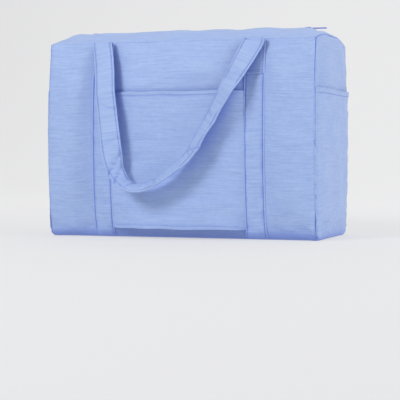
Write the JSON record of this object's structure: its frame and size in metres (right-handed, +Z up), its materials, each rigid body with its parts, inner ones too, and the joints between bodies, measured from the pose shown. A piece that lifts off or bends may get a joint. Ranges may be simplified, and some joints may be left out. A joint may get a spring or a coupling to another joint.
{
  "type": "foldable tote bag",
  "caption": "Soft zip-top tote bag with shoulder straps, a rear trolley sleeve, slip pockets at the ends and an inner stow pouch.",
  "frame": {"origin": "centre of the flat base, on the surface the bag stands on", "axes": "+X along the bag towards its right end, -Y out of the back face that carries the trolley sleeve, +Z up"},
  "size_m": [0.418, 0.2976, 0.3027],
  "materials": {
    "crinkle_nylon": "satin",
    "zip_tape_cloth": "matte",
    "zip_coil_nylon": "satin",
    "painted_slider": "satin",
    "foam_padding": "matte",
    "binding_cloth": "matte",
    "thread": "matte"
  },
  "bodies": {
    "bag": {"back_panel": "crinkle_nylon", "bar_stitches": "thread", "bottom_panel": "crinkle_nylon", "front_panel": "crinkle_nylon", "left_side_panel": "crinkle_nylon", "left_side_pocket": "crinkle_nylon", "right_side_panel": "crinkle_nylon", "right_side_pocket": "crinkle_nylon", "seam_binding_left": "binding_cloth", "seam_binding_right": "binding_cloth", "stow_pocket": "crinkle_nylon", "stow_pocket_tab": "crinkle_nylon", "stow_zip_coil_inner": "zip_coil_nylon", "stow_zip_coil_outer": "zip_coil_nylon", "stow_zip_tape_inner": "zip_tape_cloth", "stow_zip_tape_outer": "zip_tape_cloth", "strap_strip_back_left": "crinkle_nylon", "strap_strip_back_right": "crinkle_nylon", "strap_strip_front_left": "crinkle_nylon", "strap_strip_front_right": "crinkle_nylon", "trolley_sleeve": "crinkle_nylon", "zip_end_left": "zip_tape_cloth", "zip_end_right": "zip_tape_cloth"},
    "back_flap": {"top_flap_back": "crinkle_nylon", "zip_tape_back": "zip_tape_cloth", "zip_coil_back": "zip_coil_nylon"},
    "front_flap": {"top_flap_front": "crinkle_nylon", "zip_tape_front": "zip_tape_cloth", "zip_coil_front": "zip_coil_nylon"},
    "slider_left": {"zip_slider_left": "painted_slider"},
    "slider_right": {"zip_slider_right": "painted_slider"},
    "puller_left": {"zip_puller_left": "painted_slider"},
    "puller_right": {"zip_puller_right": "painted_slider"},
    "back_strap": {"back_shoulder_strap": "crinkle_nylon", "back_strap_padding": "foam_padding"},
    "front_strap": {"front_shoulder_strap": "crinkle_nylon", "front_strap_padding": "foam_padding"},
    "stow_slider": {"stow_zip_slider": "painted_slider"},
    "stow_puller": {"stow_zip_puller": "painted_slider"}
  },
  "joints": [
    {"name": "back_flap_lift", "type": "hinge", "parent": "bag", "child": "back_flap", "pos_m": [0, -0.088, 0.28], "axis": [1, 0, 0], "range_deg": [0, 70]},
    {"name": "front_flap_lift", "type": "hinge", "parent": "bag", "child": "front_flap", "pos_m": [0, 0.088, 0.28], "axis": [-1, 0, 0], "range_deg": [0, 70]},
    {"name": "left_slider_travel", "type": "slide", "parent": "bag", "child": "slider_left", "axis": [-1, 0, 0], "range_m": [-0.158, 0]},
    {"name": "right_slider_travel", "type": "slide", "parent": "bag", "child": "slider_right", "axis": [1, 0, 0], "range_m": [-0.158, 0]},
    {"name": "left_puller_swing", "type": "hinge", "parent": "slider_left", "child": "puller_left", "pos_m": [-0.166, 0, 0.3005], "axis": [0, 1, 0], "range_deg": [0, 165]},
    {"name": "right_puller_swing", "type": "hinge", "parent": "slider_right", "child": "puller_right", "pos_m": [0.166, 0, 0.3005], "axis": [0, -1, 0], "range_deg": [0, 165]},
    {"name": "back_strap_swing", "type": "hinge", "parent": "bag", "child": "back_strap", "pos_m": [0, -0.0955, 0.277], "axis": [-1, 0, 0], "range_deg": [0, 160]},
    {"name": "front_strap_swing", "type": "hinge", "parent": "bag", "child": "front_strap", "pos_m": [0, 0.0955, 0.277], "axis": [1, 0, 0], "range_deg": [0, 160]},
    {"name": "stow_slider_travel", "type": "slide", "parent": "bag", "child": "stow_slider", "axis": [1, 0, 0], "range_m": [-0.16, 0]},
    {"name": "stow_puller_swing", "type": "hinge", "parent": "stow_slider", "child": "stow_puller", "pos_m": [0.081, 0.079, 0.2019], "axis": [0, -1, 0], "range_deg": [0, 165]}
  ]
}
